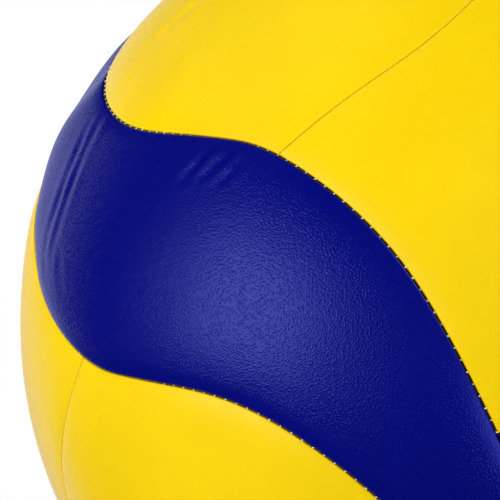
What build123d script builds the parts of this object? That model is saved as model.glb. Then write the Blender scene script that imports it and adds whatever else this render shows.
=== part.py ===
from build123d import *
from math import acos, atan2, cos, degrees, hypot, radians, sin, sqrt
import os

# Indoor volleyball, in millimetres. The origin is the middle of the ball and +Z runs out through the valve.

# Sizes of the ball, which is 660 around, and of the layers that make its wall, from the outside in
DIAMETER = 210.08
RADIUS = DIAMETER / 2
COVER = 2.6
CLOTH = 0.5
BLADDER_ROOM = 0.3
BLADDER_WALL = 0.8
PATCH = 0.6
GLUE = 0.1
FLANGE = 1.2

# The outer rim of every cover panel rolls down into the seam, and its corners are eased
SEAM_ROUND = 1.2
CORNER_ROUND = 1.4

# Valve sizes, square to the surface at the top. RIM_SHARE is how much of a rim's thickness is rounded off.
NECK_RADIUS = 4.0
NECK_CLEARANCE = 0.2
NECK_RECESS = 0.5
HOLE_ROUND = 0.8
PATCH_RADIUS = 20.0
FLANGE_RADIUS = 13.0
BOSS_RADIUS = 5.5
BOSS_FLOOR = 1.6
PLUG_RADIUS = 2.55
PLUG_CLEARANCE = 0.05
PLUG_LENGTH = 13.4
PLUG_TAPER = 0.5
HEAD_RADIUS = 3.2
HEAD_HEIGHT = 1.0
NEEDLE_HOLE_RADIUS = 1.05
RIM_SHARE = 0.3

# Seam layout, in degrees. The seams are drawn on a flat map about the middle of one blue panel: a point is
# its angle from that middle, then its bearing. The panel runs from a corner at bearing 0 to one at 180.
CORNER_ANGLE = degrees(acos(1 / sqrt(3)))
BLUE_SIDE = ((45.9, 9.8), (35.0, 26.8), (26.9, 45.9), (18.3, 80.7), (15.2, 101.5),
             (14.7, 127.3), (17.4, 152.3), (25.0, 167.3), (41.0, 171.1))
YELLOW_SEAM = ((29.1, 78.7), (39.3, 80.0), (49.4, 85.5))
TIP_INDEX = 1
STEM_INDEX = 4
POINTS_PER_STEP = 2

# Where the valve is on that map, and the spin that turns the finished ball about its valve
VALVE_ANGLE = 31.0
VALVE_BEARING = 108.0
SPIN = 298.3

CENTRE = (0, 0, 0)


# Seam curves

def map_point(angle, bearing):
    return (angle * cos(radians(bearing)), angle * sin(radians(bearing)))


def to_direction(point):
    angle = radians(hypot(*point))
    bearing = atan2(point[1], point[0])
    return Vector(sin(angle) * cos(bearing), sin(angle) * sin(bearing), cos(angle))


def to_map(direction):
    return map_point(degrees(acos(direction.Z)), degrees(atan2(direction.Y, direction.X)))


def smooth_curve(controls, step):
    """A point of the even cubic B-spline that starts and ends on its first and last control points."""
    before = tuple(2 * a - b for a, b in zip(controls[0], controls[1]))
    after = tuple(2 * a - b for a, b in zip(controls[-1], controls[-2]))
    padded = [before, *controls, after]
    span = min(int(step), len(controls) - 2)
    t = step - span
    weights = ((1 - t) ** 3, 3 * t ** 3 - 6 * t ** 2 + 4, -3 * t ** 3 + 3 * t ** 2 + 3 * t + 1, t ** 3)
    return tuple(sum(w * padded[span + k][d] for k, w in enumerate(weights)) / 6 for d in (0, 1))


def seam_directions(controls, first, last):
    count = round(POINTS_PER_STEP * (last - first))
    step = (last - first) / count
    return [to_direction(smooth_curve(controls, first + step * i)) for i in range(count + 1)]


yellow_middle_axis = Axis(CENTRE, to_direction(map_point(CORNER_ANGLE, 90)))
blue_flip_axis = Axis(CENTRE, to_direction(map_point(90, 45)))
other_flip_axis = Axis(CENTRE, to_direction(map_point(90, 135)))
blue_axis = Axis(CENTRE, (0, 0, 1))

side = [map_point(CORNER_ANGLE, 0)] + [map_point(*p) for p in BLUE_SIDE]
tip = to_direction(smooth_curve(side, TIP_INDEX))
side.append(to_map(tip.rotate(yellow_middle_axis, -120)))
SIDE_END = len(side) - 1
stem = smooth_curve(side, STEM_INDEX)
seam = [stem] + [map_point(*p) for p in YELLOW_SEAM] + [map_point(CORNER_ANGLE, 90)]
SEAM_END = len(seam) - 1


# Panels

def seam_wall(directions):
    """A wall through the ball's skin along a seam, pointing at the middle of the ball everywhere."""
    low = Edge.make_spline([d * (0.9 * RADIUS) for d in directions])
    high = Edge.make_spline([d * (1.1 * RADIUS) for d in directions])
    return Face.make_surface_from_curves(low, high)


def skin(outer, thickness, middle):
    """A hollow ball whose poles and closing line stay clear of the panel around the given middle."""
    across = middle.cross(Vector(1, 0, 0)).normalized()
    plane = Plane(origin=CENTRE, x_dir=-middle, z_dir=across)
    return Solid.make_sphere(outer, plane) - Solid.make_sphere(outer - thickness, plane)


def cut_panel(walls, outer, thickness, middle):
    pieces = skin(outer, thickness, middle).split(Shell(walls), Keep.ALL)
    return min(pieces, key=lambda piece: piece.volume)


def corner_edges(panel, outer, thickness):
    return [e for e in panel.edges() if abs((e @ 0.5).length - (outer - thickness / 2)) < thickness / 4]


def rim_edges(panel, outer):
    return [e for e in panel.edges() if max(abs((e @ t).length - outer) for t in (0.1, 0.5, 0.9)) < 0.02]


def cover_panel(walls, middle):
    panel = cut_panel(walls, RADIUS, COVER, middle)
    panel = panel.fillet(CORNER_ROUND, corner_edges(panel, RADIUS, COVER))
    return panel.fillet(SEAM_ROUND, rim_edges(panel, RADIUS))


def backing(walls, middle):
    return cut_panel(walls, RADIUS - COVER, CLOTH, middle)


def place(shape):
    """Turns a piece from the seam map to the ball's own frame, with the valve at the top."""
    shape = shape.rotate(Axis.Z, -VALVE_BEARING)
    shape = shape.rotate(Axis.Y, -VALVE_ANGLE)
    return shape.rotate(Axis.Z, SPIN)


blue_middle = Vector(0, 0, 1)
yellow_middle = to_direction(map_point(VALVE_ANGLE, VALVE_BEARING))

tip_wall = seam_wall(seam_directions(side, 0, TIP_INDEX))
outer_wall = seam_wall(seam_directions(side, TIP_INDEX, STEM_INDEX))
inner_wall = seam_wall(seam_directions(side, STEM_INDEX, SIDE_END))
yellow_wall = seam_wall(seam_directions(seam, 0, SEAM_END))

half_walls = [tip_wall, outer_wall, inner_wall, tip_wall.rotate(yellow_middle_axis, -120)]
blue_walls = half_walls + [w.rotate(blue_axis, 180) for w in half_walls]
yellow_walls = [yellow_wall, inner_wall, outer_wall.rotate(yellow_middle_axis, -120),
                yellow_wall.rotate(yellow_middle_axis, -120)]

blue_shapes = {"panel": cover_panel(blue_walls, blue_middle), "backing": backing(blue_walls, blue_middle)}
yellow_shapes = {"panel": cover_panel(yellow_walls, yellow_middle),
                 "backing": backing(yellow_walls, yellow_middle)}

nodes = {}
for kind, shape in blue_shapes.items():
    copies = []
    for third in (0, -120, 120):
        copies.append(shape.rotate(yellow_middle_axis, third))
        copies.append(shape.rotate(blue_flip_axis, 180).rotate(yellow_middle_axis, third))
    for number, copy in enumerate(copies, 1):
        nodes[f"blue_{kind}_{number}"] = place(copy)

for kind, shape in yellow_shapes.items():
    copies = []
    for third in (0, -120, 120):
        turned = shape.rotate(yellow_middle_axis, third)
        copies.append(turned)
        copies += [turned.rotate(axis, 180) for axis in (blue_axis, blue_flip_axis, other_flip_axis)]
    for number, copy in enumerate(copies, 1):
        nodes[f"yellow_{kind}_{number}"] = place(copy)


# Valve, built straight up the +Z axis

def upright_cylinder(radius, low, high):
    return Solid.make_cylinder(radius, high - low, Plane((0, 0, low)))


def cap(outer, thickness, radius):
    """A round piece of a hollow ball, centred on the valve."""
    ball = Solid.make_sphere(outer) - Solid.make_sphere(outer - thickness)
    return ball & upright_cylinder(radius, 0, 1.1 * RADIUS)


bladder_outer = RADIUS - COVER - CLOTH - BLADDER_ROOM
patch_outer = bladder_outer - BLADDER_WALL
flange_outer = patch_outer - PATCH - GLUE
neck_top = RADIUS - NECK_RECESS
plug_bottom = neck_top - PLUG_LENGTH
pocket_radius = PLUG_RADIUS + PLUG_CLEARANCE
pocket_bottom = plug_bottom - PLUG_CLEARANCE
boss_bottom = pocket_bottom - BOSS_FLOOR
seat_radius = HEAD_RADIUS + PLUG_CLEARANCE
ball_top = 1.1 * RADIUS

bladder = Solid.make_sphere(bladder_outer) - Solid.make_sphere(patch_outer)
nodes["bladder"] = bladder - upright_cylinder(NECK_RADIUS, 0, ball_top)
nodes["valve_patch"] = cap(patch_outer, PATCH, PATCH_RADIUS) - upright_cylinder(NECK_RADIUS, 0, ball_top)

housing = cap(flange_outer, FLANGE, FLANGE_RADIUS)
housing += upright_cylinder(BOSS_RADIUS, boss_bottom, flange_outer - FLANGE)
housing += upright_cylinder(NECK_RADIUS, boss_bottom, neck_top)
housing -= upright_cylinder(pocket_radius, pocket_bottom, ball_top)
housing -= upright_cylinder(seat_radius, neck_top - HEAD_HEIGHT, ball_top)
housing = housing.fillet(RIM_SHARE * (NECK_RADIUS - seat_radius), housing.edges().group_by(Axis.Z)[-1])
housing -= upright_cylinder(NEEDLE_HOLE_RADIUS, 0, ball_top)
nodes["valve_housing"] = housing

plug = upright_cylinder(PLUG_RADIUS, plug_bottom, neck_top)
plug = plug.chamfer(PLUG_TAPER, None, plug.edges().group_by(Axis.Z)[0])
plug += upright_cylinder(HEAD_RADIUS, neck_top - HEAD_HEIGHT, neck_top)
plug = plug.fillet(RIM_SHARE * HEAD_HEIGHT, plug.edges().group_by(Axis.Z)[-1])
plug -= upright_cylinder(NEEDLE_HOLE_RADIUS, 0, ball_top)
nodes["valve_plug"] = plug

# The neck comes up through the valve panel, whose opening is rounded over, and through its backing
opening = upright_cylinder(NECK_RADIUS + NECK_CLEARANCE, 0, ball_top)
valve_panel = nodes["yellow_panel_1"] - opening
mouth = [e for e in valve_panel.edges().filter_by(GeomType.CIRCLE)
         if abs(e.radius - NECK_RADIUS - NECK_CLEARANCE) < 0.01]
mouth = max(mouth, key=lambda e: e.center(CenterOf.BOUNDING_BOX).Z)
nodes["yellow_panel_1"] = valve_panel.fillet(HOLE_ROUND, [mouth])
nodes["yellow_backing_1"] = nodes["yellow_backing_1"] - opening

os.makedirs("parts", exist_ok=True)
for name, shape in nodes.items():
    export_step(shape, f"parts/{name}.step")
    print(name, shape.is_valid, round(shape.volume))
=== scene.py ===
import math

import bmesh
import bpy
import numpy as np
from bpy.props import FloatProperty, FloatVectorProperty, PointerProperty
from bpy.types import Operator, Panel, PropertyGroup
from mathutils import Matrix, Vector


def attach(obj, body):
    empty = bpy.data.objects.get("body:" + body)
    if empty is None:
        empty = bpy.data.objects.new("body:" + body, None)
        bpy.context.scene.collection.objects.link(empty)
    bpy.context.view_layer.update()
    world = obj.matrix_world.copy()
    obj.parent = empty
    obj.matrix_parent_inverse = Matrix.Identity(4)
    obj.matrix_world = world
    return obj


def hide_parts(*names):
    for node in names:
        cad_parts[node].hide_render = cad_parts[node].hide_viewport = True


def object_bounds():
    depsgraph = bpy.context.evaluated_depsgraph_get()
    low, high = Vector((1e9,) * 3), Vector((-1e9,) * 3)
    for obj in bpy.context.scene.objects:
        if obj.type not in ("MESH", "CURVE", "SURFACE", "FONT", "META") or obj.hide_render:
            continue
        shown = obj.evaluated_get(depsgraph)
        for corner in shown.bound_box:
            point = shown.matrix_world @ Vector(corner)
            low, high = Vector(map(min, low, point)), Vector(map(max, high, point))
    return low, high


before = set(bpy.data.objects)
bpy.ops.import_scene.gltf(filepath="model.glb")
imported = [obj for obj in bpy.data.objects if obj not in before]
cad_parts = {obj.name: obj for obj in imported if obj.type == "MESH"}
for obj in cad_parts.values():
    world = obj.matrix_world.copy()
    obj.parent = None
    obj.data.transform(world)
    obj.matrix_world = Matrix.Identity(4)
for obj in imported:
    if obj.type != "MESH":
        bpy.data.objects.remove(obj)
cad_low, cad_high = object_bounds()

bl_info = {
    "name": "Volleyball",
    "version": (1, 0, 0),
    "blender": (4, 5, 0),
    "location": "View3D > Sidebar > Volleyball",
    "description": "Dresses the volleyball's solids in stitched leather panels, thread, cloth and rubber",
    "category": "Object",
}

# Seam layout, in degrees on a flat map about the middle of one blue panel: a point is its angle from that
# middle, then its bearing. The panel runs from a corner at bearing 0 to one at 180. Another blue panel's side
# ends on this one's at step TIP_INDEX of its curve, and a yellow seam starts from it at step STEM_INDEX.
CORNER_ANGLE = math.degrees(math.acos(1 / math.sqrt(3)))
BLUE_SIDE = ((45.9, 9.8), (35.0, 26.8), (26.9, 45.9), (18.3, 80.7), (15.2, 101.5),
             (14.7, 127.3), (17.4, 152.3), (25.0, 167.3), (41.0, 171.1))
YELLOW_SEAM = ((29.1, 78.7), (39.3, 80.0), (49.4, 85.5))
TIP_INDEX = 1
STEM_INDEX = 4
# Points of a seam curve for each of its steps
SAMPLES = 60

# Where the valve is on that map, the panel that has it, and the spin of the finished ball about its valve
VALVE_ANGLE = 31.0
VALVE_BEARING = 108.0
VALVE_PANEL = "yellow_panel_1"
SPIN = 298.3

# Valve opening in the cover, in metres: its radius and rounded rim, how far past the rim the outer grid is
# cut back and the new faces start, the wider cut in the underside, and how far above it the wall stops
OPENING_RADIUS = 0.0042
OPENING_ROUND = 0.0008
OPENING_CUT = 0.0012
OPENING_START = 0.0004
OPENING_UNDER_CUT = 0.0085
OPENING_WALL_END = 0.0001
# Points across its rounded rim, and the distance from a seam that its wall counts as, which sets its grain
# and its share of the painted groove shade
OPENING_STEPS = 6
OPENING_SEAM = 0.0005

# Distances from a seam at which a panel has its first rows of points, and the spacing of the rest, in metres.
# Inside its border the underside takes one point in BOTTOM_STEP each way. Edges sharper than SMOOTH_ANGLE, in
# degrees, stay sharp.
EDGE_ROWS = np.array((0.06, 0.11, 0.19, 0.30, 0.44, 0.62, 0.85, 1.15, 1.5, 2.0, 2.6)) / 1000
POINT_SPACING = 0.00075
BOTTOM_STEP = 4
SMOOTH_ANGLE = 50

# Distances from several seams are joined so that corners come out round: the higher the power, the sharper.
# SMALLEST_GAP keeps the power from dividing by nothing.
CORNER_POWER = 4.0
SMALLEST_GAP = 1e-6

# How open a seam between two yellow panels is, as a share of a blue panel's seam
YELLOW_OPENING = 0.45

# Puckers beside a seam: their reach in metres, the share of their depth that is the same all along, and two
# slow waves, in radians per metre, with the second one's shift, that vary the rest
PUCKER_REACH = 0.0018
PUCKER_SHARE = 0.45
PUCKER_WAVES = (190.0, 71.0)
PUCKER_SHIFT = 1.3

# Where along a blue panel's side the seam closes up over its stitches, how far that reaches and how much
# deeper they lie there, in metres, and the share by which it closes
TUCK_PLACE = 0.113
TUCK_REACH = 0.013
TUCK_DEPTH = 0.00040
TUCK_CLOSING = 0.20

# Soft creases: three map points, then width and depth in millimetres. The first set bends round a blue
# panel's end, the second crosses its belly, and the third lies in a yellow panel. The panels named have
# theirs in full, the blue one at one end only, and the others have weaker ones.
BLUE_END_CREASES = (
    (((27.1, 167.5), (22.4, -173.0), (22.8, -145.0)), 1.6, 0.36),
    (((29.0, 171.7), (24.6, -171.0), (26.4, -145.5)), 1.5, 0.34),
    (((23.9, -154.0), (24.9, -146.0), (23.2, -138.0)), 1.2, 0.14),
    (((20.6, -154.0), (19.4, -141.0), (18.5, -131.0)), 1.4, 0.14),
)
BLUE_BELLY_CREASES = (
    (((15.8, 102.5), (11.6, 105.9), (7.8, 113.5)), 0.95, 0.42),
    (((16.4, 92.0), (13.0, 93.0), (9.6, 97.0)), 0.95, 0.44),
    (((16.6, 83.2), (13.4, 82.6), (10.2, 81.5)), 0.90, 0.26),
)
YELLOW_CREASES = (
    (((39.5, 136.0), (34.3, 145.0), (31.5, 155.0)), 1.8, 0.36),
    (((28.4, 153.0), (27.7, 159.8), (27.8, 165.0)), 1.6, 0.24),
)
CREASED_PANELS = ("blue_panel_5", "yellow_panel_9")

# Points along a crease, how blunt its ends are, how much and how fast its depth wavers, the lip on each side,
# in depths and widths of the crease, and the distance from a seam, in metres, within which creases die out
CREASE_POINTS = 48
CREASE_TAPER = 0.8
CREASE_WAVER = 0.18
CREASE_WAVES = 17.0
LIP_HEIGHT = 0.38
LIP_PLACE = 2.0
LIP_WIDTH = 1.1
CREASE_CALM = 0.0015

# Soft swellings: a map point, then reach and height in millimetres. The panel named has its own in full.
BLUE_END_SWELLS = (
    ((36.0, -174.0), 11.5, 0.95),
    ((42.5, 174.0), 9.0, -0.95),
    ((33.0, -159.0), 8.0, 0.45),
)
YELLOW_SWELL = ((58.0, 153.0), 15.0, 1.15)
SWOLLEN_PANEL = "yellow_panel_7"

# Strengths of the weaker creases and swellings, drawn at random: the least and the most at a blue panel's end
# and belly, the most in a yellow panel, and the seeds
BLUE_LEAST = (0.15, 0.1)
BLUE_MOST = (0.75, 0.7)
YELLOW_CREASE_MOST = 0.7
YELLOW_SWELL_MOST = 0.4
BLUE_SEED = 5
YELLOW_SEED = 9

# Stitches: sides and steps of the bowed thread, its half length and bow in thread thicknesses, the share it
# tapers by, its slant in degrees, each thread's depth in metres under the ball's radius, and how much and how
# fast slant and depth waver from stitch to stitch
STITCH_SIDES = 6
STITCH_STEPS = 6
STITCH_REACH = 1.25
STITCH_BOW = 1.1
STITCH_TAPER = 0.35
STITCH_SLANT = 22
WHITE_STITCH_DEPTH = 0.00125
YELLOW_STITCH_DEPTH = 0.00100
SLANT_WAVER = 0.35
SLANT_WAVES = 7.3
DEPTH_WAVER = 0.07
DEPTH_WAVES = 2.3

# Leather: pebbles per metre, how far they wander and how deep the grain is, in metres, and the share of its
# height that the pebbles make
GRAIN_PEBBLES = 2100.0
GRAIN_DRIFT = 0.0002
GRAIN_DEPTH = 0.00012
PEBBLE_SHARE = 0.75
# Distances from a seam, in metres, between which the grain comes up, from its share at the seam, and between
# which the groove's shadow ends where the seam is fully open
GRAIN_FADE = (0.0006, 0.0050)
SEAM_GRAIN = 0.35
GROOVE_FADE = (0.00008, 0.00042)
# What the furrows add to the roughness, and what the pebbles take off it
FURROW_ROUGHNESS = 0.10
PEBBLE_GLOSS = 0.03
# Each colour's painted shade in the groove of an open and of a tight seam, tint of its shine, strength of its
# grain, its roughness and shine, and the painted highlight on its pebble tops
BLUE_LEATHER = {"groove_shade": (0.0006, 0.0012, 0.030), "tight_groove_shade": (0.0006, 0.0012, 0.030),
                "tint": (0.27, 0.31, 1.0), "strength": 0.54, "roughness": 0.20, "shine": 0.60,
                "pebble_highlight": 0.15}
YELLOW_LEATHER = {"groove_shade": (0.13, 0.055, 0.001), "tight_groove_shade": (0.88, 0.52, 0.003),
                  "tint": (1.0, 1.0, 1.0), "strength": 0.05, "roughness": 0.26, "shine": 0.16,
                  "pebble_highlight": 0.03}

# Camera: its place in metres, its axes, its lens and sensor in millimetres, and how near it sees, in metres
CAMERA_PLACE = Vector((0.000052, -0.523257, 0.148863))
CAMERA_RIGHT = Vector((0.9761, 0.1418, 0.1646))
CAMERA_UP = Vector((-0.1950, 0.2372, 0.9517))
CAMERA_BACK = Vector((0.0959, -0.9610, 0.2592))
CAMERA_LENS = 161.3
CAMERA_SENSOR = 36.0
CAMERA_NEAR = 0.01

# Soft boxes: name, the way to it in the camera's axes, its distance and size in metres, and whether the
# leather mirrors it
SOFT_BOXES = (
    ("key", (-0.815, 0.06, 0.575), 1.1, 0.60, True),
    ("back", (0.77, 0.25, -0.62), 1.1, 0.50, True),
    ("behind", (-0.45, 0.30, -0.80), 1.4, 0.90, False),
    ("low", (-0.62, -0.12, 0.72), 1.4, 0.90, False),
    ("front", (0.40, 0.35, 0.85), 1.5, 1.60, False),
    ("top", (-0.52, 0.80, 0.02), 1.4, 1.20, False),
    ("fill", (0.80, 0.75, 0.30), 1.3, 0.90, True),
)

# Floor: its size, its gap under the ball and the distances between which it fades to white, in metres, then
# its grey and the glow that is seen on it
FLOOR_SIZE = 12
FLOOR_GAP = 0.0008
FLOOR_FADE = (0.06, 0.15)
FLOOR_GREY = (0.42, 0.42, 0.42, 1)
FLOOR_LIFT = 0.50

# What the leather mirrors of the surroundings: a backdrop behind the ball that ends at a height and is a
# little brighter low down, and a window in front at the right. Ways are in the camera's axes. A ramp is the
# agreement with its way at which it starts and ends, then its level at each.
MIRRORED_COLOUR = (0.62, 0.65, 1.0, 1)
BACKDROP_WAY = (0, 0.1, -1)
BACKDROP_RAMP = (0.64, 0.75, 0.0, 0.92)
UP_WAY = (0, 1, 0)
BACKDROP_TOP_RAMP = (0.27, 0.44, 1.0, 0.0)
BACKDROP_LOW_RAMP = (-0.25, 0.05, 0.15, 0.0)
WINDOW_WAY = (0.61, -0.22, 0.76)
WINDOW_RAMP = (0.93, 0.985, 0.0, 4.5)


# Properties that a user would change

def length_property(name, description, default):
    return FloatProperty(name=name, description=description, default=default, unit="LENGTH",
                         subtype="DISTANCE", precision=5)


def colour_property(name, description, default):
    return FloatVectorProperty(name=name, description=description, default=default, subtype="COLOR",
                               size=3, min=0, max=1)


def power_property(name, description, default):
    return FloatProperty(name=name, description=description, default=default, min=0, unit="POWER")


class BallSizes(PropertyGroup):
    radius: length_property("Radius", "Radius of the ball over its panels", cad_high.x)
    cover: length_property("Cover", "Thickness of the padded leather", 0.0026)
    blue_crown: length_property("Blue crown", "How far a blue panel's middle stands over its seams", 0.00080)
    blue_rise: length_property("Blue rise", "How far the blue panels are padded out", 0.00050)
    yellow_crown: length_property("Yellow crown", "How far a yellow panel's middle stands over its seams",
                                  0.00020)
    yellow_rise: length_property("Yellow rise", "How far the yellow panels are padded out", -0.00040)
    crown_width: length_property("Crown width", "How far from the seam the crown rises", 0.0100)
    dip: length_property("Dip", "Extra depth that the stitching pulls down close to a seam", 0.00065)
    dip_width: length_property("Dip width", "How far from the seam that dip reaches", 0.0028)
    roll: length_property("Roll", "Depth of the turned edge at a seam", 0.00050)
    roll_width: length_property("Roll width", "Width of the turned edge at a seam", 0.00050)
    pucker: length_property("Pucker", "Depth of the small folds that the stitches pull in", 0.00007)
    stitch_pitch: length_property("Stitch pitch", "Distance from one stitch to the next", 0.0027)
    thread: length_property("Thread", "Thickness of the sewing thread", 0.00035)


class BallColours(PropertyGroup):
    blue: colour_property("Blue", "Blue leather", (0.0003, 0.0018, 0.186))
    yellow: colour_property("Yellow", "Yellow leather", (0.95, 0.655, 0.0010))
    white_thread: colour_property("White thread", "Thread of the blue seams", (0.84, 0.82, 0.78))
    yellow_thread: colour_property("Yellow thread", "Thread of the yellow seams", (0.90, 0.70, 0.16))
    cloth: colour_property("Cloth", "Woven backing", (0.72, 0.70, 0.64))
    bladder: colour_property("Bladder", "Rubber of the bladder", (0.016, 0.016, 0.017))
    valve: colour_property("Valve", "Rubber of the valve", (0.030, 0.030, 0.032))


class StudioLevels(PropertyGroup):
    key: power_property("Key light", "Power of the soft box at the left", 5.4)
    fill: power_property("Fill light", "Power of the soft box at the right", 8.0)
    front: power_property("Front light", "Power of the wide soft box near the camera", 5.9)
    back: power_property("Back light", "Power of the soft box behind the ball", 5.0)
    top: power_property("Top light", "Power of the wide soft box overhead", 4.3)
    low: power_property("Low light", "Power of the soft box in front at the left", 11.1)
    behind: power_property("Behind light", "Power of the soft box behind at the left", 12.5)
    room: FloatProperty(name="Room", description="Level of the light from all round", default=0.14,
                        subtype="FACTOR", min=0, max=1)


# Seam curves. A curve is its directions from the middle of the ball, and how far along its seam each is.

def map_points(places):
    angle, bearing = np.array(places, float).T
    return np.stack([angle * np.cos(np.radians(bearing)), angle * np.sin(np.radians(bearing))], -1)


def to_directions(points):
    angle = np.radians(np.hypot(points[..., 0], points[..., 1]))
    bearing = np.arctan2(points[..., 1], points[..., 0])
    return np.stack([np.sin(angle) * np.cos(bearing), np.sin(angle) * np.sin(bearing), np.cos(angle)], -1)


def to_map(direction):
    angle = math.degrees(math.acos(direction[2]))
    return map_points([(angle, math.degrees(math.atan2(direction[1], direction[0])))])[0]


def turn(axis, angle):
    return np.array(Matrix.Rotation(math.radians(angle), 3, Vector(axis)))


def unit(vectors):
    return vectors / np.linalg.norm(vectors, axis=-1, keepdims=True)


def smooth_curve(controls, steps):
    """Points of the even cubic B-spline that starts and ends on its first and last control points."""
    controls = np.array(controls)
    padded = np.concatenate([[2 * controls[0] - controls[1]], controls, [2 * controls[-1] - controls[-2]]])
    span = np.minimum(np.floor(steps).astype(int), len(controls) - 2)
    t = (steps - span)[:, None]
    weights = ((1 - t) ** 3, 3 * t ** 3 - 6 * t ** 2 + 4, -3 * t ** 3 + 3 * t ** 2 + 3 * t + 1, t ** 3)
    return sum(weight * padded[span + k] for k, weight in enumerate(weights)) / 6


def seam_curve(controls, radius):
    last = len(controls) - 1
    directions = to_directions(smooth_curve(controls, np.linspace(0, last, SAMPLES * last + 1)))
    steps = np.linalg.norm(np.diff(directions, axis=0), axis=1) * radius
    return directions, np.concatenate([[0], np.cumsum(steps)])


def stretch(curve, first, last=None):
    end = None if last is None else SAMPLES * last + 1
    return curve[0][SAMPLES * first:end], curve[1][SAMPLES * first:end]


def turned(curve, matrix):
    return curve[0] @ matrix.T, curve[1]


def backwards(curve):
    return curve[0][::-1], curve[1][::-1]


YELLOW_MIDDLE = to_directions(map_points([(CORNER_ANGLE, 90)]))[0]
BLUE_MIDDLE = np.array((0, 0, 1.0))
FLIP_AXES = [to_directions(map_points([(90, bearing)]))[0] for bearing in (45, 135)]
THIRDS = (0, -120, 120)
PLACE = turn((0, 0, 1), SPIN) @ turn((0, 1, 0), -VALVE_ANGLE) @ turn((0, 0, 1), -VALVE_BEARING)


def blue_turns():
    turns = []
    for third in THIRDS:
        turns.append(turn(YELLOW_MIDDLE, third))
        turns.append(turn(YELLOW_MIDDLE, third) @ turn(FLIP_AXES[0], 180))
    return [PLACE @ matrix for matrix in turns]


def yellow_turns():
    turns = []
    for third in THIRDS:
        base = turn(YELLOW_MIDDLE, third)
        turns.append(base)
        turns += [turn(axis, 180) @ base for axis in (BLUE_MIDDLE, *FLIP_AXES)]
    return [PLACE @ matrix for matrix in turns]


def base_seams(radius):
    """The long side of a blue panel, up to the next one's tip, and the seam between two yellow panels."""
    side = list(map_points([(CORNER_ANGLE, 0), *BLUE_SIDE]))
    tip = to_directions(smooth_curve(side, np.array([float(TIP_INDEX)])))[0]
    side.append(to_map(turn(YELLOW_MIDDLE, -120) @ tip))
    stem = smooth_curve(side, np.array([float(STEM_INDEX)]))[0]
    seam = [stem, *map_points(YELLOW_SEAM), *map_points([(CORNER_ANGLE, 90)])]
    return seam_curve(side, radius), seam_curve(seam, radius)


def blue_outline(radius):
    side, _ = base_seams(radius)
    half_turn = turn(BLUE_MIDDLE, 180)
    short = turned(stretch(side, 0, TIP_INDEX), turn(YELLOW_MIDDLE, -120))
    return side, backwards(turned(side, half_turn)), turned(short, half_turn), backwards(short)


def yellow_outline(radius):
    side, seam = base_seams(radius)
    third = turn(YELLOW_MIDDLE, -120)
    right = turned(stretch(side, TIP_INDEX, STEM_INDEX), third)
    return stretch(side, STEM_INDEX), backwards(turned(seam, third)), seam, right


# Panels

def at(curve, share):
    """Directions at shares of a curve's length."""
    run = np.abs(curve[1] - curve[1][0])
    share = share * run[-1]
    return unit(np.stack([np.interp(share, run, curve[0][:, axis]) for axis in range(3)], -1))


def rows_across(length, widest):
    """Places along lines of those lengths, close together at both ends, as many as the widest needs."""
    inner = EDGE_ROWS[-1]
    steps = BOTTOM_STEP * round(widest / POINT_SPACING / BOTTOM_STEP)
    shares = np.linspace(0, 1, steps - 2 * len(EDGE_ROWS) + 3)[1:-1]
    low = np.broadcast_to(EDGE_ROWS, length.shape + EDGE_ROWS.shape)
    middle = inner + (length[..., None] - 2 * inner) * shares
    return np.concatenate([low, middle, length[..., None] - EDGE_ROWS[::-1]], -1)


def panel_points(outline, radius):
    """A grid of directions that fills the space between four seams: near, far, left and right."""
    near, far, left, right = outline
    lengths = np.array([abs(curve[1][-1] - curve[1][0]) for curve in outline])
    long_way = lengths[:2].mean()
    u = rows_across(np.array(long_way), lengths[:2].max()) / long_way
    across = 2 * radius * np.arcsin(np.linalg.norm(at(near, u) - at(far, u), axis=1) / 2)
    v = rows_across(across, across.max()) / across[:, None]
    u = np.broadcast_to(u[:, None], v.shape)
    u, v = u[..., None], v[..., None]
    sides = (1 - v) * at(near, u[..., 0]) + v * at(far, u[..., 0])
    ends = (1 - u) * at(left, v[..., 0]) + u * at(right, v[..., 0])
    corners = ((1 - u) * (1 - v) * near[0][0] + u * (1 - v) * near[0][-1]
               + (1 - u) * v * far[0][0] + u * v * far[0][-1])
    return unit(sides + ends - corners)


def distance_from(curve, directions, radius):
    """Distance from a curve, place along it and share of it, for many directions."""
    points, run = curve
    tangents = unit(np.gradient(points, axis=0))
    nearest = np.argmax(directions.astype(np.float32) @ points.T.astype(np.float32), axis=1)
    offset = directions - points[nearest]
    along = np.einsum("ij,ij->i", offset, tangents[nearest])
    inside = (nearest > 0) & (nearest < len(points) - 1)
    along = np.where(inside, along, 0)
    gap = np.sqrt(np.maximum(np.einsum("ij,ij->i", offset, offset) - along ** 2, 0)) * radius
    forward = np.sign(run[-1] - run[0])
    return gap, run[nearest] + forward * along * radius, nearest / (len(points) - 1)


def seam_distance(outline, directions, radius):
    """Distance from the outline, round at its corners, place along the closest seam and each seam's share."""
    gaps, runs = [], []
    for curve in outline:
        gap, run, _ = distance_from(curve, directions, radius)
        gaps.append(np.maximum(gap, SMALLEST_GAP))
        runs.append(run)
    closest = np.argmin(gaps, axis=0)
    closeness = np.array(gaps) ** -CORNER_POWER
    total = closeness.sum(0)
    run = np.array(runs)[closest, np.arange(len(closest))]
    return total ** (-1 / CORNER_POWER), run, closeness / total


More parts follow.
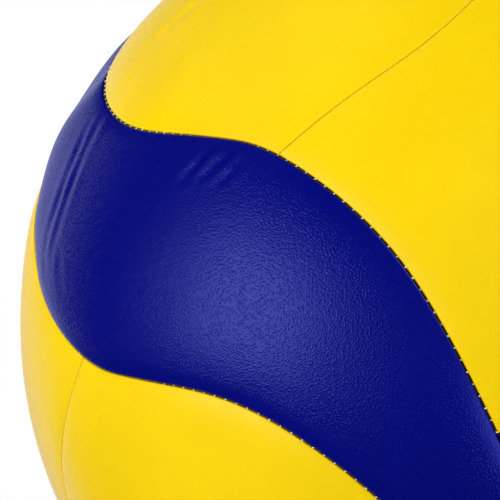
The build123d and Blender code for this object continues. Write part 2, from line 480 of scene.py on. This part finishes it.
def crease_drop(crease, directions, radius, half_turn):
    """How far a soft crease, with a low lip on each side, sinks the surface."""
    places, width, depth = crease
    a, b, c = map_points(places)
    if half_turn:
        a, b, c = -a, -b, -c
    t = np.linspace(0, 1, CREASE_POINTS)[:, None]
    line = to_directions((1 - t) ** 2 * a + 2 * t * (1 - t) * (2 * b - (a + c) / 2) + t ** 2 * c)
    gap, _, share = distance_from((line, np.arange(len(line), dtype=float)), directions, radius)
    x = gap / (width / 1000)
    fade = np.sin(np.pi * share) ** CREASE_TAPER
    fade *= 1 - CREASE_WAVER + CREASE_WAVER * np.sin(CREASE_WAVES * share + a[0])
    lip = LIP_HEIGHT * np.exp(-((x - LIP_PLACE) / LIP_WIDTH) ** 2)
    return depth / 1000 * fade * (np.exp(-x ** 2) - lip)


def swell_drop(swell, directions, radius, half_turn):
    """How far a soft swelling lifts the surface, as a negative drop."""
    place, reach, height = swell
    middle = map_points([place])
    middle = to_directions(-middle if half_turn else middle)[0]
    away = np.linalg.norm(directions - middle, axis=1) * radius
    return -height / 1000 * np.exp(-(away / (reach / 1000)) ** 2)


def border(columns, rows):
    """Places of a grid's border points, once round."""
    low = [(i, 0) for i in range(columns - 1)]
    right = [(columns - 1, j) for j in range(rows - 1)]
    high = [(i, rows - 1) for i in range(columns - 1, 0, -1)]
    left = [(0, j) for j in range(rows - 1, 0, -1)]
    return low + right + high + left


def panel_faces(columns, rows):
    """Faces of a closed panel, with edge walls and a coarse underside, and the places of its lower points."""
    def top(i, j):
        return i * rows + j

    faces = [(top(i, j), top(i + 1, j), top(i + 1, j + 1), top(i, j + 1))
             for i in range(columns - 1) for j in range(rows - 1)]
    ring = border(columns, rows)
    start = columns * rows
    under = {place: start + k for k, place in enumerate(ring)}
    for k, place in enumerate(ring):
        after = ring[(k + 1) % len(ring)]
        faces.append((top(*after), top(*place), under[place], under[after]))
    inner = [(i, j) for i in range(BOTTOM_STEP, columns - 1, BOTTOM_STEP)
             for j in range(BOTTOM_STEP, rows - 1, BOTTOM_STEP)]
    under.update({place: start + len(ring) + k for k, place in enumerate(inner)})
    for i in range(0, columns - 1, BOTTOM_STEP):
        for j in range(0, rows - 1, BOTTOM_STEP):
            far_i, far_j = i + BOTTOM_STEP, j + BOTTOM_STEP
            loop = [(i, k) for k in range(j, far_j)] + [(k, far_j) for k in range(i, far_i)]
            loop += [(far_i, k) for k in range(far_j, j, -1)] + [(k, j) for k in range(far_i, i, -1)]
            faces.append(tuple(under[place] for place in loop if place in under))
    return faces, ring + inner


def tucked(run):
    """How far a blue seam closes up over its stitches at places along it, from 0 to 1."""
    return np.exp(-((run - TUCK_PLACE) / TUCK_REACH) ** 2)


def panel_shape(outline, openness, crown, rise, sizes):
    """What every copy of a panel shares: directions, distances from the seam, drop, faces and underside."""
    grid = panel_points(outline, sizes.radius)
    columns, rows = grid.shape[:2]
    directions = grid.reshape(-1, 3)
    gap, run, shares = seam_distance(outline, directions, sizes.radius)
    opening = np.array(openness) @ shares * (1 - TUCK_CLOSING * tucked(run))
    edge = gap - EDGE_ROWS[0]
    inside = np.clip(1 - edge / (sizes.roll_width * opening), 0, 1)
    drop = sizes.roll * opening * (1 - np.sqrt(1 - inside ** 2))
    drop += sizes.dip * opening * np.exp(-np.maximum(edge, 0) / sizes.dip_width)
    drop += crown * np.exp(-np.maximum(edge, 0) / sizes.crown_width) - rise
    wave = 0.5 + 0.5 * np.cos(2 * np.pi * run / sizes.stitch_pitch)
    vary = np.sin(run * PUCKER_WAVES[0]) * np.sin(run * PUCKER_WAVES[1] + PUCKER_SHIFT)
    strength = PUCKER_SHARE + (1 - PUCKER_SHARE) * vary
    drop += sizes.pucker * wave * strength * np.exp(-(edge / PUCKER_REACH) ** 2)
    faces, underside = panel_faces(columns, rows)
    under_directions = np.array([grid[place] for place in underside])
    return {"directions": directions, "gap": gap, "opening": opening, "drop": drop, "faces": faces,
            "under": under_directions}


def make_panel(name, shape, matrix, creases, swells, sizes):
    """One closed leather panel, whose points are already in their places."""
    drop = shape["drop"].copy()
    calm = np.clip(shape["gap"] / CREASE_CALM, 0, 1)
    for crease, half_turn, strength in creases:
        drop += strength * calm * crease_drop(crease, shape["directions"], sizes.radius, half_turn)
    for swell, half_turn, strength in swells:
        drop += strength * swell_drop(swell, shape["directions"], sizes.radius, half_turn)
    top = shape["directions"] * (sizes.radius - drop)[:, None]
    under = shape["under"] * (sizes.radius - sizes.cover)
    points = np.concatenate([top, under]) @ matrix.T
    mesh = bpy.data.meshes.new(name)
    mesh.from_pydata(points.tolist(), [], shape["faces"])
    for label, values, below in (("seam", shape["gap"], 0.0), ("opening", shape["opening"], 1.0)):
        values = np.concatenate([values, np.full(len(under), below)]).astype(np.float32)
        mesh.attributes.new(label, "FLOAT", "POINT").data.foreach_set("value", values)
    panel = bpy.data.objects.new(name, mesh)
    bpy.context.scene.collection.objects.link(panel)
    select_only(panel)
    bpy.ops.object.shade_smooth_by_angle(angle=math.radians(SMOOTH_ANGLE))
    return panel


def cut_valve_opening(panel, sizes):
    """Opens the panel at the top for the valve's neck, with a rounded mouth."""
    bm = bmesh.new()
    bm.from_mesh(panel.data)
    seam_layer = bm.verts.layers.float["seam"]
    middle = sizes.radius - sizes.cover / 2

    def round_hole(reach, upper):
        faces = [f for f in bm.faces if f.calc_center_median().xy.length < reach
                 and f.calc_center_median().z > 0 and (f.calc_center_median().length > middle) == upper]
        bmesh.ops.delete(bm, geom=faces, context="FACES")
        return [e for e in bm.edges if e.is_boundary and e.verts[0].co.xy.length < 3 * reach
                and (e.verts[0].co.length > middle) == upper]

    rim = OPENING_RADIUS + OPENING_ROUND
    under_loop = round_hole(OPENING_UNDER_CUT, False)
    top_loop = round_hole(rim + OPENING_CUT, True)
    profile = [(rim + OPENING_START, 0)]
    for angle in np.linspace(0, math.pi / 2, OPENING_STEPS):
        profile.append((rim - OPENING_ROUND * math.sin(angle), OPENING_ROUND * (1 - math.cos(angle))))
    profile.append((OPENING_RADIUS, sizes.cover - OPENING_WALL_END))
    level = np.mean([v.co.length for e in top_loop for v in e.verts])
    for radius, depth in profile:
        made = bmesh.ops.extrude_edge_only(bm, edges=top_loop)["geom"]
        top_loop = [g for g in made if isinstance(g, bmesh.types.BMEdge)]
        for vert in {v for e in top_loop for v in e.verts}:
            around = vert.co.xy.normalized() * radius
            height = math.sqrt(level ** 2 - radius ** 2) - depth
            vert.co = (around.x, around.y, height)
            vert[seam_layer] = OPENING_SEAM + radius - OPENING_RADIUS
    bmesh.ops.bridge_loops(bm, edges=top_loop + under_loop)
    bmesh.ops.recalc_face_normals(bm, faces=bm.faces)
    bm.to_mesh(panel.data)
    bm.free()


def select_only(obj):
    bpy.ops.object.select_all(action="DESELECT")
    obj.select_set(True)
    bpy.context.view_layer.objects.active = obj


def dress_panel(panel, node, material):
    panel.data.materials.append(material)
    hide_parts(node)
    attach(panel, "ball")


# Materials

def new_group(name, inputs, outputs):
    group = bpy.data.node_groups.new(name, "ShaderNodeTree")
    for label, kind, value in inputs:
        socket = group.interface.new_socket(label, in_out="INPUT", socket_type=kind)
        if value is not None:
            socket.default_value = value
    for label, kind in outputs:
        group.interface.new_socket(label, in_out="OUTPUT", socket_type=kind)
    return group


class Nodes:
    """Short names for adding and linking nodes in one tree."""

    def __init__(self, tree):
        self.tree = tree

    def add(self, kind, settings=(), **inputs):
        node = self.tree.nodes.new(kind)
        for key, value in dict(settings).items():
            setattr(node, key, value)
        for key, value in inputs.items():
            self.plug(node.inputs[key.replace("_", " ")], value)
        return node

    def plug(self, socket, value):
        if isinstance(value, bpy.types.NodeSocket):
            self.tree.links.new(value, socket)
        else:
            socket.default_value = value

    def maths(self, operation, *values):
        node = self.tree.nodes.new("ShaderNodeMath")
        node.operation = operation
        for socket, value in zip(node.inputs, values):
            self.plug(socket, value)
        return node.outputs[0]

    def ramp(self, value, low, high, to_low=0.0, to_high=1.0):
        node = self.add("ShaderNodeMapRange", {"interpolation_type": "SMOOTHSTEP"})
        for key, item in (("Value", value), ("From Min", low), ("From Max", high),
                          ("To Min", to_low), ("To Max", to_high)):
            self.plug(node.inputs[key], item)
        return node.outputs[0]

    def mix(self, factor, first, second):
        node = self.add("ShaderNodeMix", {"data_type": "RGBA"})
        for index, item in ((0, factor), (6, first), (7, second)):
            self.plug(node.inputs[index], item)
        return node.outputs[2]


def leather_grain_group():
    """Fine pebbles with wandering furrows, and a slow change of tone."""
    inputs = [("Vector", "NodeSocketVector", None), ("Pebbles per metre", "NodeSocketFloat", GRAIN_PEBBLES)]
    outputs = [(label, "NodeSocketFloat") for label in ("Height", "Tone", "Speckle")]
    group = new_group("leather grain", inputs, outputs)
    n = Nodes(group)
    inside = n.add("NodeGroupInput")
    outside = n.add("NodeGroupOutput")
    vector = inside.outputs["Vector"]
    scale = inside.outputs["Pebbles per metre"]
    drift = n.add("ShaderNodeTexNoise", Vector=vector, Scale=n.maths("MULTIPLY", scale, 0.45), Detail=2.0)
    push = n.add("ShaderNodeVectorMath", {"operation": "SUBTRACT"})
    n.plug(push.inputs[0], drift.outputs["Color"])
    push.inputs[1].default_value = (0.5, 0.5, 0.5)
    shift = n.add("ShaderNodeVectorMath", {"operation": "SCALE"})
    n.plug(shift.inputs[0], push.outputs[0])
    shift.inputs["Scale"].default_value = GRAIN_DRIFT
    moved = n.add("ShaderNodeVectorMath", {"operation": "ADD"})
    n.plug(moved.inputs[0], vector)
    n.plug(moved.inputs[1], shift.outputs[0])
    pebble = n.add("ShaderNodeTexVoronoi", {"feature": "SMOOTH_F1"}, Vector=moved.outputs[0], Scale=scale,
                   Smoothness=0.35)
    fine = n.add("ShaderNodeTexNoise", Vector=vector, Scale=n.maths("MULTIPLY", scale, 1.3), Detail=3.0)
    dome = n.ramp(pebble.outputs["Distance"], 0.05, 0.62, 1.0, 0.0)
    height = n.maths("ADD", n.maths("MULTIPLY", dome, PEBBLE_SHARE),
                     n.maths("MULTIPLY", fine.outputs["Fac"], 1 - PEBBLE_SHARE))
    slow = n.add("ShaderNodeTexNoise", Vector=vector, Scale=34.0, Detail=4.0, Roughness=0.6)
    n.plug(outside.inputs["Height"], height)
    n.plug(outside.inputs["Tone"], slow.outputs["Fac"])
    n.plug(outside.inputs["Speckle"], dome)
    return group


def start_material(name):
    material = bpy.data.materials.new(name)
    material.use_nodes = True
    n = Nodes(material.node_tree)
    shader = material.node_tree.nodes["Principled BSDF"]
    place = n.add("ShaderNodeTexCoord").outputs["Object"]
    return material, n, shader, place


def add_bump(n, shader, height, strength, distance):
    bump = n.add("ShaderNodeBump", Strength=strength, Distance=distance)
    n.plug(bump.inputs["Height"], height)
    n.plug(shader.inputs["Normal"], bump.outputs[0])


def four(colour):
    return (*colour, 1.0)


def shade(colour, factor):
    return tuple(min(1.0, channel * factor) for channel in colour)


def leather_material(name, colour, grain, groove_shade, tight_groove_shade, tint, strength, roughness, shine,
                     pebble_highlight):
    """Grained leather, drawn smoother close to a seam, with painted shade in the seam's groove and painted
    highlights on its pebble tops.
    """
    material, n, shader, place = start_material(name)
    grained = n.add("ShaderNodeGroup", {"node_tree": grain})
    n.plug(grained.inputs["Vector"], place)
    seam = n.add("ShaderNodeAttribute", {"attribute_name": "seam"}).outputs["Fac"]
    away = n.ramp(seam, *GRAIN_FADE)
    tone = n.ramp(grained.outputs["Tone"], 0.32, 0.70)
    body = n.mix(tone, four(shade(colour, 0.97)), four(shade(colour, 1.02)))
    # Pebble tops are drawn paler in colour: a painted highlight of the light that the grain catches
    body = n.mix(n.maths("MULTIPLY", grained.outputs["Speckle"], pebble_highlight), body, four(shade(colour, 1.35)))
    # Close to a seam the colour turns to a dark tone: painted shade in the seam's groove, a paler amber one
    # in a tight yellow seam
    opening = n.add("ShaderNodeAttribute", {"attribute_name": "opening"}).outputs["Fac"]
    groove = n.ramp(seam, GROOVE_FADE[0], n.maths("MULTIPLY", opening, GROOVE_FADE[1]))
    shadow = n.mix(n.ramp(opening, 0.55, 0.95), four(tight_groove_shade), four(groove_shade))
    n.plug(shader.inputs["Base Color"], n.mix(groove, shadow, body))
    rough = n.ramp(grained.outputs["Speckle"], 0.0, 1.0, roughness + FURROW_ROUGHNESS,
                   roughness - PEBBLE_GLOSS)
    n.plug(shader.inputs["Roughness"], rough)
    shader.inputs["Specular IOR Level"].default_value = shine
    shader.inputs["Specular Tint"].default_value = four(tint)
    height = n.maths("MULTIPLY", grained.outputs["Height"], n.ramp(away, 0, 1, SEAM_GRAIN, 1.0))
    add_bump(n, shader, height, strength, GRAIN_DEPTH)
    return material


def thread_material(name, colour):
    """Twisted thread with fine plies, painted shade in the dips between them, and a soft, fibrous look."""
    material, n, shader, place = start_material(name)
    plies = n.add("ShaderNodeTexWave", {"bands_direction": "DIAGONAL"}, Vector=place, Scale=900.0,
                  Distortion=2.0)
    fuzz = n.add("ShaderNodeTexNoise", Vector=place, Scale=2600.0, Detail=3.0)
    ply = n.ramp(plies.outputs["Fac"], 0.1, 0.9)
    # The dips between the plies are drawn darker: painted shade between the plies
    tone = n.mix(ply, four(shade(colour, 0.80)), four(shade(colour, 1.05)))
    n.plug(shader.inputs["Base Color"], tone)
    n.plug(shader.inputs["Roughness"], n.ramp(fuzz.outputs["Fac"], 0.3, 0.7, 0.55, 0.80))
    shader.inputs["Sheen Weight"].default_value = 0.25
    add_bump(n, shader, plies.outputs["Fac"], strength=0.4, distance=0.00008)
    return material


def cloth_material(name, colour):
    """Plain weave, two sets of threads over and under each other."""
    material, n, shader, place = start_material(name)
    warp, weft, rise = [n.add("ShaderNodeTexWave", {"bands_direction": axis}, Vector=place, Scale=420.0,
                              Distortion=0.6).outputs["Fac"] for axis in "XYZ"]
    weave = n.maths("MAXIMUM", n.maths("MULTIPLY", warp, weft), rise)
    slub = n.add("ShaderNodeTexNoise", Vector=place, Scale=260.0, Detail=4.0)
    # The low places of the weave are drawn darker: painted shade where the threads dip under
    tone = n.mix(n.ramp(weave, 0.1, 0.8), four(shade(colour, 0.62)), four(colour))
    tone = n.mix(n.ramp(slub.outputs["Fac"], 0.45, 0.75, 0.0, 0.35), tone, four(shade(colour, 0.80)))
    n.plug(shader.inputs["Base Color"], tone)
    n.plug(shader.inputs["Roughness"], n.ramp(slub.outputs["Fac"], 0.3, 0.7, 0.78, 0.92))
    shader.inputs["Sheen Weight"].default_value = 0.2
    add_bump(n, shader, weave, strength=0.6, distance=0.0002)
    return material


def rubber_material(name, colour, roughness, bloom):
    """Moulded rubber with a matt bloom, fine pores and tooling marks."""
    material, n, shader, place = start_material(name)
    cloud = n.add("ShaderNodeTexNoise", Vector=place, Scale=60.0, Detail=5.0, Roughness=0.6)
    fine = n.add("ShaderNodeTexNoise", Vector=place, Scale=2200.0, Detail=3.0)
    rings = {"wave_type": "RINGS", "rings_direction": "Z"}
    ring = n.add("ShaderNodeTexWave", rings, Vector=place, Scale=700.0)
    dust = n.ramp(cloud.outputs["Fac"], 0.42, 0.72, 0.0, bloom)
    n.plug(shader.inputs["Base Color"], n.mix(dust, four(colour), (0.16, 0.16, 0.165, 1)))
    n.plug(shader.inputs["Roughness"], n.ramp(cloud.outputs["Fac"], 0.3, 0.7, roughness, roughness + 0.18))
    pores = n.maths("MULTIPLY", fine.outputs["Fac"], 0.6)
    marks = n.maths("MULTIPLY", ring.outputs["Fac"], 0.4)
    add_bump(n, shader, n.maths("ADD", pores, marks), strength=0.35, distance=0.00006)
    return material


# Stitches

def stitch_template(sizes):
    """One stitch across a seam, a short bowed thread, as points and faces."""
    half = STITCH_REACH * sizes.thread
    bpy.ops.object.select_all(action="DESELECT")
    bpy.ops.mesh.primitive_circle_add(vertices=STITCH_SIDES, radius=sizes.thread / 2, fill_type="NGON",
                                      location=(-half, 0, 0), rotation=(0, math.pi / 2, 0))
    bpy.ops.object.transform_apply(location=True, rotation=True, scale=True)
    stitch = bpy.context.object
    bpy.ops.object.mode_set(mode="EDIT")
    bpy.ops.mesh.select_all(action="SELECT")
    for _ in range(STITCH_STEPS):
        bpy.ops.mesh.extrude_region_move(TRANSFORM_OT_translate={"value": (2 * half / STITCH_STEPS, 0, 0)})
    bpy.ops.mesh.select_all(action="SELECT")
    bpy.ops.mesh.normals_make_consistent(inside=False)
    bpy.ops.object.mode_set(mode="OBJECT")
    points = np.array([v.co for v in stitch.data.vertices])
    bow = (points[:, 0] / half) ** 2
    points[:, 1:] *= (1 - STITCH_TAPER * bow)[:, None]
    points[:, 2] -= STITCH_BOW * sizes.thread * bow
    faces = [tuple(p.vertices) for p in stitch.data.polygons]
    bpy.data.objects.remove(stitch)
    return points, faces


def lay_stitches(name, curve, matrices, depth, sizes):
    """Copies the stitch along every turned copy of a seam, each with its own points, into one piece."""
    points, faces = stitch_template(sizes)
    directions, run = curve
    count = round((run[-1] - run[0]) / sizes.stitch_pitch)
    places = run[0] + (np.arange(count) + 0.5) * (run[-1] - run[0]) / count
    middle = unit(np.stack([np.interp(places, run, directions[:, axis]) for axis in range(3)], -1))
    tangents = unit(np.gradient(directions, axis=0))
    along = unit(np.stack([np.interp(places, run, tangents[:, axis]) for axis in range(3)], -1))
    lean = np.radians(STITCH_SLANT * (1 + SLANT_WAVER * np.sin(SLANT_WAVES * np.arange(count))))[:, None]
    across = np.cross(middle, along)
    length_way = across * np.cos(lean) + along * np.sin(lean)
    width_way = np.cross(middle, length_way)
    sink = depth * (1 + DEPTH_WAVER * np.sin(DEPTH_WAVES * np.arange(count))) + TUCK_DEPTH * tucked(places)
    height = sizes.radius - sink[:, None]
    local = (points[None, :, 0:1] * length_way[:, None] + points[None, :, 1:2] * width_way[:, None]
             + points[None, :, 2:3] * middle[:, None] + (height * middle)[:, None])
    base = local.reshape(-1, 3)
    everything = np.concatenate([base @ matrix.T for matrix in matrices])
    all_faces = [tuple(index + len(points) * k for index in face)
                 for k in range(len(everything) // len(points)) for face in faces]
    mesh = bpy.data.meshes.new(name)
    mesh.from_pydata(everything.tolist(), [], all_faces)
    piece = bpy.data.objects.new(name, mesh)
    bpy.context.scene.collection.objects.link(piece)
    select_only(piece)
    bpy.ops.object.shade_smooth()
    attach(piece, "ball")
    return piece


# Operators, one for each kind of piece and one for the stage

class VOLLEYBALL_OT_blue_panels(Operator):
    """Makes the six blue panels"""
    bl_idname = "volleyball.blue_panels"
    bl_label = "Blue panels"

    def execute(self, context):
        sizes = context.scene.ball_sizes
        colours = context.scene.ball_colours
        grain = bpy.data.node_groups.get("leather grain") or leather_grain_group()
        material = leather_material("blue leather", tuple(colours.blue), grain, **BLUE_LEATHER)
        shape = panel_shape(blue_outline(sizes.radius), (1, 1, 1, 1), sizes.blue_crown, sizes.blue_rise,
                            sizes)
        random = np.random.default_rng(BLUE_SEED)
        for number, matrix in enumerate(blue_turns(), 1):
            node = f"blue_panel_{number}"
            creases, swells = [], []
            for half_turn in (False, True):
                end, belly = random.uniform(BLUE_LEAST, BLUE_MOST)
                if node in CREASED_PANELS:
                    end, belly = (0.0, 0.0) if half_turn else (1.0, 1.0)
                creases += [(crease, half_turn, end) for crease in BLUE_END_CREASES]
                creases += [(crease, half_turn, belly) for crease in BLUE_BELLY_CREASES]
                swells += [(swell, half_turn, end) for swell in BLUE_END_SWELLS]
            panel = make_panel(f"blue_cover_{number}", shape, matrix, creases, swells, sizes)
            dress_panel(panel, node, material)
        return {"FINISHED"}


class VOLLEYBALL_OT_yellow_panels(Operator):
    """Makes the twelve yellow panels, one of them open for the valve"""
    bl_idname = "volleyball.yellow_panels"
    bl_label = "Yellow panels"

    def execute(self, context):
        sizes = context.scene.ball_sizes
        colours = context.scene.ball_colours
        grain = bpy.data.node_groups.get("leather grain") or leather_grain_group()
        material = leather_material("yellow leather", tuple(colours.yellow), grain, **YELLOW_LEATHER)
        shape = panel_shape(yellow_outline(sizes.radius), (1, YELLOW_OPENING, YELLOW_OPENING, 1),
                            sizes.yellow_crown, sizes.yellow_rise, sizes)
        random = np.random.default_rng(YELLOW_SEED)
        for number, matrix in enumerate(yellow_turns(), 1):
            node = f"yellow_panel_{number}"
            strength = 1.0 if node in CREASED_PANELS else random.uniform(0.0, YELLOW_CREASE_MOST)
            creases = [(crease, False, strength) for crease in YELLOW_CREASES]
            strength = 1.0 if node == SWOLLEN_PANEL else random.uniform(0.0, YELLOW_SWELL_MOST)
            swells = [(YELLOW_SWELL, False, strength)]
            panel = make_panel(f"yellow_cover_{number}", shape, matrix, creases, swells, sizes)
            if node == VALVE_PANEL:
                cut_valve_opening(panel, sizes)
            dress_panel(panel, node, material)
        return {"FINISHED"}


class VOLLEYBALL_OT_stitching(Operator):
    """Sews the seams, white round the blue panels and yellow between the yellow ones"""
    bl_idname = "volleyball.stitching"
    bl_label = "Stitching"

    def execute(self, context):
        sizes = context.scene.ball_sizes
        colours = context.scene.ball_colours
        side, seam = base_seams(sizes.radius)
        blue = blue_turns()
        half_turn = turn(BLUE_MIDDLE, 180)
        sides = blue + [matrix @ half_turn for matrix in blue]
        white = lay_stitches("white_stitching", side, sides, WHITE_STITCH_DEPTH, sizes)
        white.data.materials.append(thread_material("white thread", tuple(colours.white_thread)))
        yellow = lay_stitches("yellow_stitching", seam, yellow_turns(), YELLOW_STITCH_DEPTH, sizes)
        yellow.data.materials.append(thread_material("yellow thread", tuple(colours.yellow_thread)))
        return {"FINISHED"}


class VOLLEYBALL_OT_inner_pieces(Operator):
    """Gives the cloth backings, the bladder and the valve their materials"""
    bl_idname = "volleyball.inner_pieces"
    bl_label = "Backings, bladder and valve"

    def execute(self, context):
        colours = context.scene.ball_colours
        cloth = cloth_material("woven backing", tuple(colours.cloth))
        bladder = rubber_material("bladder rubber", tuple(colours.bladder), roughness=0.50, bloom=0.25)
        valve = rubber_material("valve rubber", tuple(colours.valve), roughness=0.42, bloom=0.12)
        for name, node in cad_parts.items():
            if "backing" in name:
                material = cloth
            elif name in ("bladder", "valve_patch"):
                material = bladder
            elif name.startswith("valve"):
                material = valve
            else:
                continue
            node.data.materials.clear()
            node.data.materials.append(material)
        return {"FINISHED"}


def from_camera(way):
    """A direction given in the camera's axes: right, up and back."""
    return CAMERA_RIGHT * way[0] + CAMERA_UP * way[1] + CAMERA_BACK * way[2]


def soft_box(name, direction, distance, size, power, mirrored):
    """A square lamp that faces the ball, and may be kept out of reflections."""
    bpy.ops.object.light_add(type="AREA", location=direction.normalized() * distance)
    lamp = bpy.context.object
    lamp.name = name
    lamp.data.shape = "SQUARE"
    lamp.data.size = size
    lamp.data.energy = power
    lamp.visible_glossy = mirrored
    lamp.rotation_mode = "QUATERNION"
    lamp.rotation_quaternion = direction.to_track_quat("Z", "Y")


class VOLLEYBALL_OT_studio(Operator):
    """Sets the pale floor, the white surroundings, the soft boxes and the camera"""
    bl_idname = "volleyball.studio"
    bl_label = "Studio"

    def execute(self, context):
        scene = context.scene
        levels = scene.studio_levels
        scene.view_settings.view_transform = "Standard"
        self.floor(scene.ball_sizes.radius)
        self.surroundings(scene, levels.room)
        for name, way, distance, size, mirrored in SOFT_BOXES:
            power = getattr(levels, name)
            soft_box(f"{name} soft box", from_camera(way), distance, size, power, mirrored)
        bpy.ops.object.camera_add()
        camera = context.object
        camera.name = "camera"
        camera.data.sensor_width = CAMERA_SENSOR
        camera.data.lens = CAMERA_LENS
        camera.data.clip_start = CAMERA_NEAR
        axes = Matrix((CAMERA_RIGHT, CAMERA_UP, CAMERA_BACK)).transposed()
        camera.matrix_world = Matrix.Translation(CAMERA_PLACE) @ axes.to_4x4()
        scene.camera = camera
        return {"FINISHED"}

    def floor(self, radius):
        bpy.ops.object.select_all(action="DESELECT")
        bpy.ops.mesh.primitive_plane_add(size=FLOOR_SIZE, location=(0, 0, -radius - FLOOR_GAP))
        floor = bpy.context.object
        floor.name = "floor"
        material, n, shader, place = start_material("pale floor")
        material.node_tree.nodes.remove(shader)
        ray = n.add("ShaderNodeLightPath")
        seen = n.maths("MAXIMUM", ray.outputs["Is Camera Ray"],
                       n.maths("MAXIMUM", ray.outputs["Is Glossy Ray"], ray.outputs["Is Transmission Ray"]))
        far = n.add("ShaderNodeVectorMath", {"operation": "LENGTH"})
        n.plug(far.inputs[0], place)
        fade = n.maths("MULTIPLY", n.ramp(far.outputs["Value"], *FLOOR_FADE), seen)
        lit = n.add("ShaderNodeBsdfDiffuse", Color=FLOOR_GREY)
        lift = n.add("ShaderNodeEmission", Strength=n.maths("MULTIPLY", seen, FLOOR_LIFT))
        near = n.add("ShaderNodeAddShader")
        n.plug(near.inputs[0], lit.outputs[0])
        n.plug(near.inputs[1], lift.outputs[0])
        white = n.add("ShaderNodeEmission", Strength=1.0)
        join = n.add("ShaderNodeMixShader")
        n.plug(join.inputs[0], fade)
        n.plug(join.inputs[1], near.outputs[0])
        n.plug(join.inputs[2], white.outputs[0])
        n.plug(material.node_tree.nodes["Material Output"].inputs["Surface"], join.outputs[0])
        floor.data.materials.append(material)
        floor.visible_glossy = False

    def surroundings(self, scene, room):
        world = bpy.data.worlds.new("studio")
        world.use_nodes = True
        scene.world = world
        n = Nodes(world.node_tree)
        ray = n.add("ShaderNodeLightPath")
        direction = n.add("ShaderNodeTexCoord").outputs["Generated"]
        behind = n.ramp(self.toward(n, direction, BACKDROP_WAY), *BACKDROP_RAMP)
        upward = self.toward(n, direction, UP_WAY)
        height = n.maths("ADD", n.ramp(upward, *BACKDROP_TOP_RAMP), n.ramp(upward, *BACKDROP_LOW_RAMP))
        window = n.ramp(self.toward(n, direction, WINDOW_WAY), *WINDOW_RAMP)
        backdrop = n.maths("ADD", n.maths("MULTIPLY", behind, height), window)
        mirrored = n.maths("MAXIMUM", ray.outputs["Is Glossy Ray"], ray.outputs["Is Transmission Ray"])
        level = n.add("ShaderNodeMix")
        n.plug(level.inputs["Factor"], mirrored)
        n.plug(level.inputs["A"], room)
        n.plug(level.inputs["B"], backdrop)
        strength = n.maths("MAXIMUM", level.outputs["Result"], ray.outputs["Is Camera Ray"])
        background = world.node_tree.nodes["Background"]
        n.plug(background.inputs["Color"], n.mix(mirrored, (1, 1, 1, 1), MIRRORED_COLOUR))
        n.plug(background.inputs["Strength"], strength)

    def toward(self, n, direction, way):
        """How far a direction of the surroundings agrees with a way in the camera's axes, from -1 to 1."""
        node = n.add("ShaderNodeVectorMath", {"operation": "DOT_PRODUCT"})
        n.plug(node.inputs[0], direction)
        node.inputs[1].default_value = from_camera(way).normalized()
        return node.outputs["Value"]


class VOLLEYBALL_PT_sidebar(Panel):
    """Lists the ball's pieces, sizes and colours"""
    bl_label = "Volleyball"
    bl_idname = "VOLLEYBALL_PT_sidebar"
    bl_space_type = "VIEW_3D"
    bl_region_type = "UI"
    bl_category = "Volleyball"

    def draw(self, context):
        layout = self.layout
        for operator in OPERATORS:
            layout.operator(operator.bl_idname)
        for group in (context.scene.ball_sizes, context.scene.ball_colours, context.scene.studio_levels):
            box = layout.box()
            for key in group.__annotations__:
                box.prop(group, key)


OPERATORS = (VOLLEYBALL_OT_blue_panels, VOLLEYBALL_OT_yellow_panels, VOLLEYBALL_OT_stitching,
             VOLLEYBALL_OT_inner_pieces, VOLLEYBALL_OT_studio)
CLASSES = (BallSizes, BallColours, StudioLevels, *OPERATORS, VOLLEYBALL_PT_sidebar)


def register():
    for cls in CLASSES:
        bpy.utils.register_class(cls)
    bpy.types.Scene.ball_sizes = PointerProperty(type=BallSizes)
    bpy.types.Scene.ball_colours = PointerProperty(type=BallColours)
    bpy.types.Scene.studio_levels = PointerProperty(type=StudioLevels)


def unregister():
    del bpy.types.Scene.studio_levels
    del bpy.types.Scene.ball_colours
    del bpy.types.Scene.ball_sizes
    for cls in reversed(CLASSES):
        bpy.utils.unregister_class(cls)


def main():
    register()
    bpy.ops.volleyball.blue_panels()
    bpy.ops.volleyball.yellow_panels()
    bpy.ops.volleyball.stitching()
    bpy.ops.volleyball.inner_pieces()
    bpy.ops.volleyball.studio()


if __name__ == "__main__":
    main()
